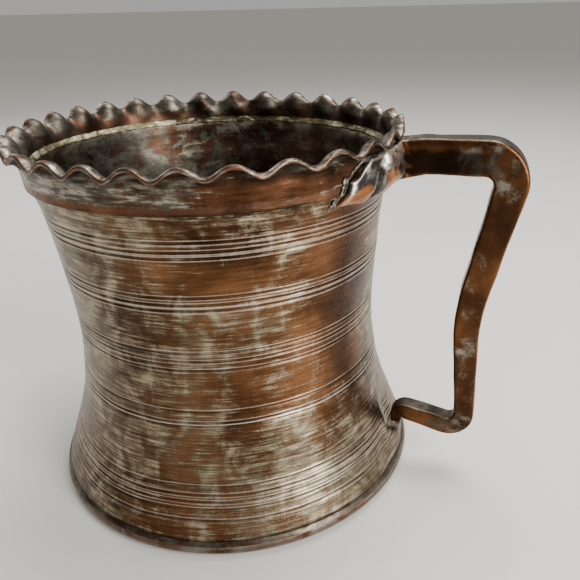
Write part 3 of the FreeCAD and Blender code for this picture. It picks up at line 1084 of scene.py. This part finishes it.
    def leaf(self, side: float) -> tuple[float, float]:
        """Give the lowest and highest point of the saddle at a share of its wrap.

        Args:
            side: From -1 at one leaf's tip to 1 at the other's.

        Returns:
            The two heights.
        """
        away = abs(side)
        low = self.saddle_low + 1.5 * smooth(away, 0.55, 1.0) + 0.25 * math.sin(9.0 * side)
        high = self.saddle_high - 4.8 * smooth(away, 0.70, 1.0) + 1.3 * bump(away, 0.0, 0.2)
        return low, high

    def skin(self, height: float) -> float:
        """Give the radius of the mug under the saddle.

        Args:
            height: At what height.

        Returns:
            The radius.
        """
        slide = smooth(height, 103.9, 105.2)
        flare = 0.9 * smooth(height, 109.5, 113.0)
        return (54.05 + 0.30 * (height - self.saddle_low)) * (1.0 - slide) + (
            56.45 + flare) * slide

    def on_saddle(self, out: float, side: float, up: float) -> tuple[Vector, float, float]:
        """Give the place and finish of one point of the saddle.

        Args:
            out: 0 on the back, 1 on the front.
            side: From -1 at one leaf's tip to 1 at the other's.
            up: From -1 at the bottom to 1 at the top.

        Returns:
            The place, its relief and its tin.
        """
        away = abs(side)
        low, high = self.leaf(side)
        bow = 0.05 * smooth(away, 0.5, 1.0) * (up + 0.2)
        angle = self.leaf_angle * side * (1.0 - bow)
        height = low + (high - low) * (up + 1.0) / 2.0
        rounding = (1.0 - abs(up) ** 8) ** 0.5 * (1.0 - away ** 18) ** 0.5
        valley = bump(away, 0.55 - 0.06 * up, 0.07)
        root = bump(away, 0.0, 0.22 + 0.04 * up)
        bulge = self.leaf_out * smooth(height, 100.4, 105.2)
        grain_at = Vector((side * 30.0, up * 6.0, 0.0))
        lumps = 0.40 * grain(grain_at, 5.5, 2.0) + 0.14 * grain(grain_at, 2.0, 5.0)
        front = self.leaf_r + bulge + root * (
            self.root_out * smooth(height, 100.4, 104.6) - 1.4) + lumps * rounding
        front -= (2.6 * valley + 0.8 * smooth(away, 0.68, 1.0) + 1.4 * (1.0 - rounding)
                  + (0.4 + 0.9 * root) * smooth(height, 109.0, 113.0))
        behind = self.skin(height)
        radius = behind + out * max(front - behind, 0.3)
        place = around(radius, angle, height)
        # The band near each leaf's top edge paints a highlight; the bands at the bottom edge and at
        # the leaves' ends are rubbed edges.
        edge = out * (0.8 * bump(up, 0.9, 0.07) * smooth(away, 0.5, 0.65)
                      + 0.45 * bump(up, -0.96, 0.06) + 0.6 * bump(away, 0.97, 0.03))
        speckle = grain(grain_at, 1.3, 8.0)
        white = bump(away, 0.35, 0.2) * smooth(up, 0.0, 0.5) * (1.1 + 1.5 * speckle)
        braze = bump(away, 0.11, 0.05) * (0.2 + 2.0 * speckle)
        # The valley term paints near-black shade into the groove between the root and each leaf.
        relief = edge + 1.5 * white + braze - 2.4 * valley * smooth(up, 0.9, 0.3)
        corner = smooth(up, 0.2, -0.5) * smooth(away, 0.64, 0.88)
        bare = corner + 0.9 * bump(away, 0.34, 0.09) * smooth(up, 0.5, -0.2)
        return place, relief, 1.2 * white - 2.4 * bare + 0.4

    def tin(self) -> Object:
        """Make the lumps of tin along the saddle's edges.

        Returns:
            The piece.
        """
        random.seed(11)
        bm = bmesh.new()
        runs = []
        for side in (-1, 1):
            for _ in range(self.end_lumps):
                rise = random.uniform(-1.0, 1.0)
                angle = self.leaf_angle + 0.6 - 1.8 * rise + random.uniform(-1.2, 1.0)
                runs.append((side * angle, 105.4 + 3.8 * rise, random.uniform(0.18, 0.36)))
            for step in range(self.top_lumps):
                share = step / (self.top_lumps - 1)
                _, high = self.leaf(share)
                runs.append((side * self.leaf_angle * (0.16 + 0.86 * share),
                             high + random.uniform(-0.4, 0.1), random.uniform(0.3, 0.55)))
        for angle, height, size in runs:
            made = bmesh.ops.create_icosphere(bm, subdivisions=2, radius=size)
            place = Matrix.Translation(around(self.skin(height) + 0.05, angle, height))
            turn = Matrix.Rotation(math.radians(angle), 4, "Z")
            spread = Matrix.Diagonal((0.7, 1.2, 1.5, 1.0))
            bmesh.ops.transform(bm, matrix=place @ turn @ spread, verts=made["verts"])
        piece = finished("saddle_tin", bm, [SOLDER.build()], "handle_solder")
        melt = piece.modifiers.new("melt", "REMESH")
        melt.mode = "VOXEL"
        melt.voxel_size = 0.3 * MM
        melt.use_smooth_shade = True
        with bpy.context.temp_override(object=piece, active_object=piece):
            bpy.ops.object.modifier_apply(modifier=melt.name)
        return piece

    def pin(self) -> Object:
        """Make the bent pin at the bar's tip and its peened head inside the wall.

        Returns:
            The piece.
        """
        stations = []
        for step in range(9):
            place = Vector((self.pin_x, 0.0, 19.0 - step * 0.8))
            stations.append(Station(place, Vector((0, 0, -1)), self.pin_r, self.pin_r))
        centre = stations[-1].place - Vector((self.pin_bend, 0.0, 0.0))
        for step in range(1, 11):
            turn = math.radians(self.pin_turn * step / 10)
            place = centre + Vector((math.cos(turn), 0.0, -math.sin(turn))) * self.pin_bend
            along = Vector((-math.sin(turn), 0.0, -math.cos(turn)))
            stations.append(Station(place, along, self.pin_r, self.pin_r))
        inwards, end = stations[-1].along, stations[-1].place
        for run, size in ((0.15, 2.3), (0.5, 2.45), (0.9, 2.1), (1.1, 1.3)):
            stations.append(Station(end + inwards * run, inwards, size, size))
        bm = swept(stations, 24, 2.3)
        moved(bm, lambda p: 0.12 * Vector((grain(p, 2.0, 1.0), grain(p, 2.0, 2.0), 0.0)))
        painted(bm, RELIEF, lambda p: 0.3 * grain(p, 1.5, 3.0))
        return finished("tinned_pin", bm, [PIN_TIN.build()], "lower_peg")

    def build(self) -> list[Object]:
        """Make every piece of the handle."""
        return [self.bar(), self.saddle(), self.tin(), self.pin()]


# ---- the studio ----
@dataclass(frozen=True)
class Studio:
    """Pale floor, soft lights and the camera.

    Attributes:
        camera_place: Where the camera stands, in millimetres.
        camera_aim: Where it looks.
        camera_roll: Its tilt about its own line of sight, in degrees.
        lens: Focal length on a 36 mm sensor.
        shift: Shift of the frame, in shares of its width.
        lamps_aim: Where every lamp points, in metres.
    """
    camera_place: tuple[float, float, float] = (81.97, -175.77, 148.24)
    camera_aim: tuple[float, float, float] = (31.29, -7.23, 53.23)
    camera_roll: float = 1.5
    lens: float = 37.26
    shift: tuple[float, float] = (-0.0315, 0.0634)
    lamps_aim: tuple[float, float, float] = (0.0, 0.0, 0.06)

    def build(self) -> None:
        """Make the floor, lights, sky and camera."""
        bm = bmesh.new()
        bmesh.ops.create_grid(bm, x_segments=2, y_segments=2, size=20.0)
        mesh = bpy.data.meshes.new("studio_floor")
        bm.to_mesh(mesh)
        bm.free()
        floor = bpy.data.objects.new("studio_floor", mesh)
        floor.location.z = -0.0002
        bpy.context.scene.collection.objects.link(floor)
        paint = bpy.data.materials.new("pale_floor")
        paint.use_nodes = True
        shader = paint.node_tree.nodes["Principled BSDF"]
        shader.inputs["Base Color"].default_value = linear("#d9d5ce")
        shader.inputs["Roughness"].default_value = 0.7
        mesh.materials.append(paint)
        world = bpy.data.worlds.new("studio_world")
        bpy.context.scene.world = world
        world.use_nodes = True
        sky = world.node_tree.nodes["Background"]
        sky.inputs["Color"].default_value = linear("#e4e2de")
        sky.inputs["Strength"].default_value = 0.55
        self.lamp("window", (0.58, -0.30, 0.34), (0.30, 0.6), 8.0)
        self.lamp("wall_bounce", (-0.55, 0.30, 0.45), (0.4, 0.5), 1.6)
        self.lamp("overhead", (0.10, 0.25, 0.75), (0.5, 0.4), 7.0)
        self.camera()

    def lamp(self, name: str, place: Sequence[float], size: tuple[float, float],
             power: float) -> None:
        """Add one soft light.

        Args:
            name: Its name.
            place: Where it hangs, in metres.
            size: Width and height of its face.
            power: Its power in watts.
        """
        data = bpy.data.lights.new(name, "AREA")
        data.shape = "RECTANGLE"
        data.size, data.size_y = size
        data.energy = power
        lamp = bpy.data.objects.new(name, data)
        lamp.location = place
        sight = Vector(self.lamps_aim) - Vector(place)
        lamp.rotation_euler = sight.to_track_quat("-Z", "Y").to_euler()
        bpy.context.scene.collection.objects.link(lamp)

    def camera(self) -> None:
        """Add the camera."""
        data = bpy.data.cameras.new("camera")
        data.sensor_width = 36.0
        data.lens = self.lens
        data.shift_x, data.shift_y = self.shift
        data.clip_start = 0.01
        camera = bpy.data.objects.new("camera", data)
        place, aim = Vector(self.camera_place) * MM, Vector(self.camera_aim) * MM
        level = (aim - place).to_track_quat("-Z", "Y").to_matrix()
        tilt = Euler((0.0, 0.0, math.radians(-self.camera_roll))).to_matrix()
        camera.matrix_world = Matrix.Translation(place) @ (level @ tilt).to_4x4()
        bpy.context.scene.collection.objects.link(camera)
        bpy.context.scene.camera = camera


def main() -> None:
    """Build the mug and its studio."""
    logging.basicConfig(level=logging.INFO, format="%(name)s %(message)s")
    Studio().build()
    pieces = [Wall().build()] + Base().build() + Rim().build() + Handle().build()
    LOG.info("%d pieces", len(pieces))


if __name__ == "__main__":
    main()
